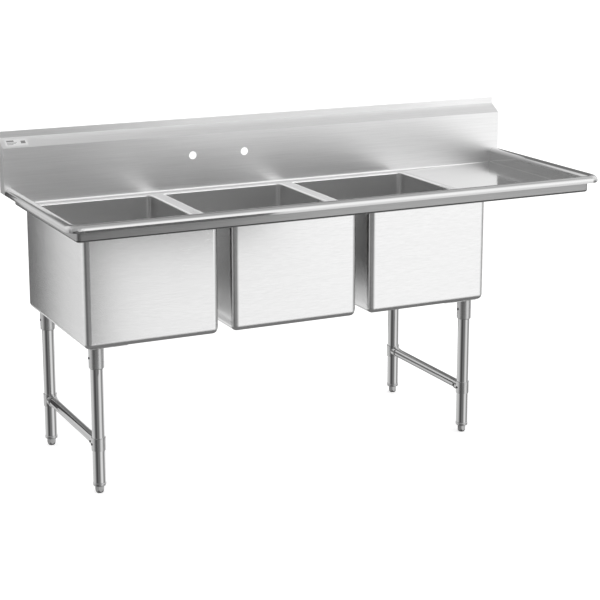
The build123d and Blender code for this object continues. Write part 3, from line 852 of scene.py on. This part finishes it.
# ---- Settings -----------------------------------------------------------------------------
class SinkStudioSettings(bpy.types.PropertyGroup):
    """Camera, floor and light."""

    camera_place: FloatVectorProperty(
        name="Camera place", description="Where the camera stands", default=(-2.5403, -5.1513, 1.9958),
        subtype="TRANSLATION", unit="LENGTH", precision=4)
    camera_yaw: FloatProperty(
        name="Camera yaw", description="Turn to the right from straight ahead",
        default=math.radians(26.004), subtype="ANGLE", unit="ROTATION")
    camera_pitch: FloatProperty(
        name="Camera pitch", description="Tip down from level",
        default=math.radians(12.285), subtype="ANGLE", unit="ROTATION")
    camera_lens: FloatProperty(
        name="Lens", description="Focal length on a 36 mm sensor", default=99.77, subtype="DISTANCE_CAMERA")
    camera_drop: FloatProperty(
        name="Lens shift", description="Upright shift that keeps the legs nearly parallel", default=-0.12)
    floor_half: FloatProperty(
        name="Floor half width", description="From the middle of the floor to its edge", default=60.0,
        unit="LENGTH")
    floor_tone: FloatProperty(name="Floor tone", description="Lightness of the floor", default=0.92)
    floor_glow: FloatProperty(name="Floor glow", description="Light from the floor itself", default=0.60)
    card_tone: FloatProperty(name="Card tone", description="Brightness of the darkest card", default=0.05)
    ceiling: FloatProperty(name="Ceiling light", description="Brightness overhead", default=0.54)
    ground: FloatProperty(name="Ground light", description="Brightness from below", default=0.18)


def tone_setting(name, description, level, warm=0.0):
    """A colour setting whose default is nearly neutral."""
    return FloatVectorProperty(
        name=name, description=description, default=grey(level, warm)[:3],
        subtype="COLOR", min=0.0, max=1.0)


class SinkFinishSettings(bpy.types.PropertyGroup):
    """Colours of the finishes."""

    bowl: tone_setting("Bowls", "Brushed steel of the bowls", 0.94)
    deck: tone_setting("Deck", "Brushed steel round the bowls", 0.53)
    drainboard: tone_setting("Drainboard", "Brushed steel of the drainboard", 0.58)
    rim: tone_setting("Rim", "Polished steel of the rolled rims", 0.66)
    splash: tone_setting("Splash", "Brushed steel of the splash", 0.97)
    mill: tone_setting("Mill finish", "Plates and channel left as milled", 0.62)
    leg: tone_setting("Legs", "Polished leg tube", 0.70)
    brace: tone_setting("Braces", "Polished brace tube", 0.58)
    fitting: tone_setting("Fittings", "Sockets, tees, drains and strainers", 0.66)
    foot: tone_setting("Feet", "Turned feet", 0.42)
    screw: tone_setting("Screws", "Black oxide screws", 0.045)
    locknut: tone_setting("Locknuts", "Zinc locknuts", 0.42, 0.03)
    chrome: tone_setting("Posts", "Chrome posts of the strainers", 0.78)
    weld: tone_setting("Welds", "Weld beads left as laid", 0.62, 0.02)
    dressed: tone_setting("Dressed welds", "Weld beads dressed bright", 0.80)
    rubber: tone_setting("Rubber", "Gaskets and stoppers", 0.022)
    label: tone_setting("Label", "Film of the blank label", 0.96)


def length_setting(name, description, default):
    """A length setting, in metres."""
    return FloatProperty(name=name, description=description, default=default, unit="LENGTH", precision=5)


class SinkWeldSettings(bpy.types.PropertyGroup):
    """Sizes of the weld beads."""

    bead_width: length_setting("Bead width", "Across a bead", 0.0042)
    bead_height: length_setting("Bead height", "Above the joint", 0.0026)
    bead_step: length_setting("Bead step", "Between two rings of a bead's mesh", 0.0006)
    ripple: length_setting("Ripple", "Between two ripples", 0.0024)
    stitch: length_setting("Stitch", "Length of a stitch weld", 0.028)


class SinkThreadSettings(bpy.types.PropertyGroup):
    """Sizes of the threads and feet."""

    tail_radius: length_setting("Tail radius", "Outside of a drain's tail", 0.02415)
    tail_length: length_setting("Tail length", "From a drain's cup to its end", 0.022)
    cup_radius: length_setting("Cup radius", "Outside of a drain's cup", 0.0425)
    thread_depth: length_setting("Drain thread depth", "Turned surface to crest", 0.0008)
    thread_pitch: length_setting("Drain thread pitch", "From crest to crest", 0.0022)
    stem_radius: length_setting("Stem radius", "A foot's stem over its crests", 0.00793)
    stem_depth: length_setting("Stem thread depth", "Root to crest", 0.0006)
    stem_pitch: length_setting("Stem thread pitch", "From crest to crest", 0.0023)
    foot_across: length_setting("Foot across", "Across the flats", 0.027)
    foot_height: length_setting("Foot height", "Floor to shoulder", 0.026)
    foot_flat: length_setting("Foot flat", "Flat on the floor", 0.014)


# ---- Operators ----------------------------------------------------------------------------
class SINK_OT_stage(bpy.types.Operator):
    """Make the studio light, the floor and the camera"""

    bl_idname = "sink.stage"
    bl_label = "Build stage"

    def execute(self, context):
        settings = context.scene.sink_studio
        build_world(settings.ceiling, settings.ground)
        build_floor(settings.floor_half, settings.floor_tone, settings.floor_glow)
        for name, low, high, share in CARDS:
            build_card(name, low, high, settings.card_tone * share)
        aim = (settings.camera_yaw, settings.camera_pitch)
        build_camera(settings.camera_place, *aim, settings.camera_lens, settings.camera_drop)
        context.scene.view_settings.view_transform = "Standard"
        return {"FINISHED"}


class SINK_OT_finishes(bpy.types.Operator):
    """Give every part its finish"""

    bl_idname = "sink.finishes"
    bl_label = "Apply finishes"

    def execute(self, context):
        made = finishes(context.scene.sink_finishes)
        for name, part in NODES.items():
            material = made[finish_of(name)]
            if not part.data.materials:
                part.data.materials.append(material)
            for slot in part.material_slots:
                slot.material = material
        return {"FINISHED"}


class SINK_OT_welds(bpy.types.Operator):
    """Lay the weld beads on the legs' plates, the rolls and the channel"""

    bl_idname = "sink.welds"
    bl_label = "Lay welds"

    def execute(self, context):
        settings, tones = context.scene.sink_welds, context.scene.sink_finishes
        weld = cast_metal("weld_bead", tones.weld, 0.26, grit=400.0, depth=1e-5)
        for leg in LEGS:
            socket_weld(leg, settings, weld)
            gusset_weld(leg, settings, weld)
        dressed = cast_metal("weld_dressed", tones.dressed, 0.14, grit=300.0, depth=2e-6)
        for side in ("left", "right"):
            roll_weld(side, settings, dressed)
        channel_weld(settings, weld)
        return {"FINISHED"}


class SINK_OT_threads(bpy.types.Operator):
    """Cut the threads on the drains and make the threaded feet"""

    bl_idname = "sink.threads"
    bl_label = "Cut threads"

    def execute(self, context):
        settings = context.scene.sink_threads
        for bowl in BOWLS:
            drain_threads(bowl, settings, NODES[f"drain_body_{bowl}"].data.materials[0])
        for leg in LEGS:
            threaded_foot(leg, settings, NODES[f"bullet_foot_{leg}"].data.materials[0])
        return {"FINISHED"}


class SINK_PT_panel(bpy.types.Panel):
    """Lists the sink's operators"""

    bl_idname = "SINK_PT_panel"
    bl_label = "Three compartment sink"
    bl_space_type = "VIEW_3D"
    bl_region_type = "UI"
    bl_category = "Sink"

    def draw(self, context):
        for operator in STEPS:
            self.layout.operator(operator.bl_idname)


STEPS = (SINK_OT_stage, SINK_OT_finishes, SINK_OT_welds, SINK_OT_threads)
SETTINGS = {
    "sink_studio": SinkStudioSettings,
    "sink_finishes": SinkFinishSettings,
    "sink_welds": SinkWeldSettings,
    "sink_threads": SinkThreadSettings,
}
CLASSES = (*SETTINGS.values(), *STEPS, SINK_PT_panel)


def register():
    """Registers the classes and their settings."""
    for item in CLASSES:
        bpy.utils.register_class(item)
    for name, group in SETTINGS.items():
        setattr(bpy.types.Scene, name, PointerProperty(type=group))


def unregister():
    """Removes the settings and the classes."""
    for name in SETTINGS:
        delattr(bpy.types.Scene, name)
    for item in reversed(CLASSES):
        bpy.utils.unregister_class(item)


def main():
    """Builds everything."""
    register()
    bpy.ops.sink.stage()
    bpy.ops.sink.finishes()
    bpy.ops.sink.welds()
    bpy.ops.sink.threads()


if __name__ == "__main__":
    main()
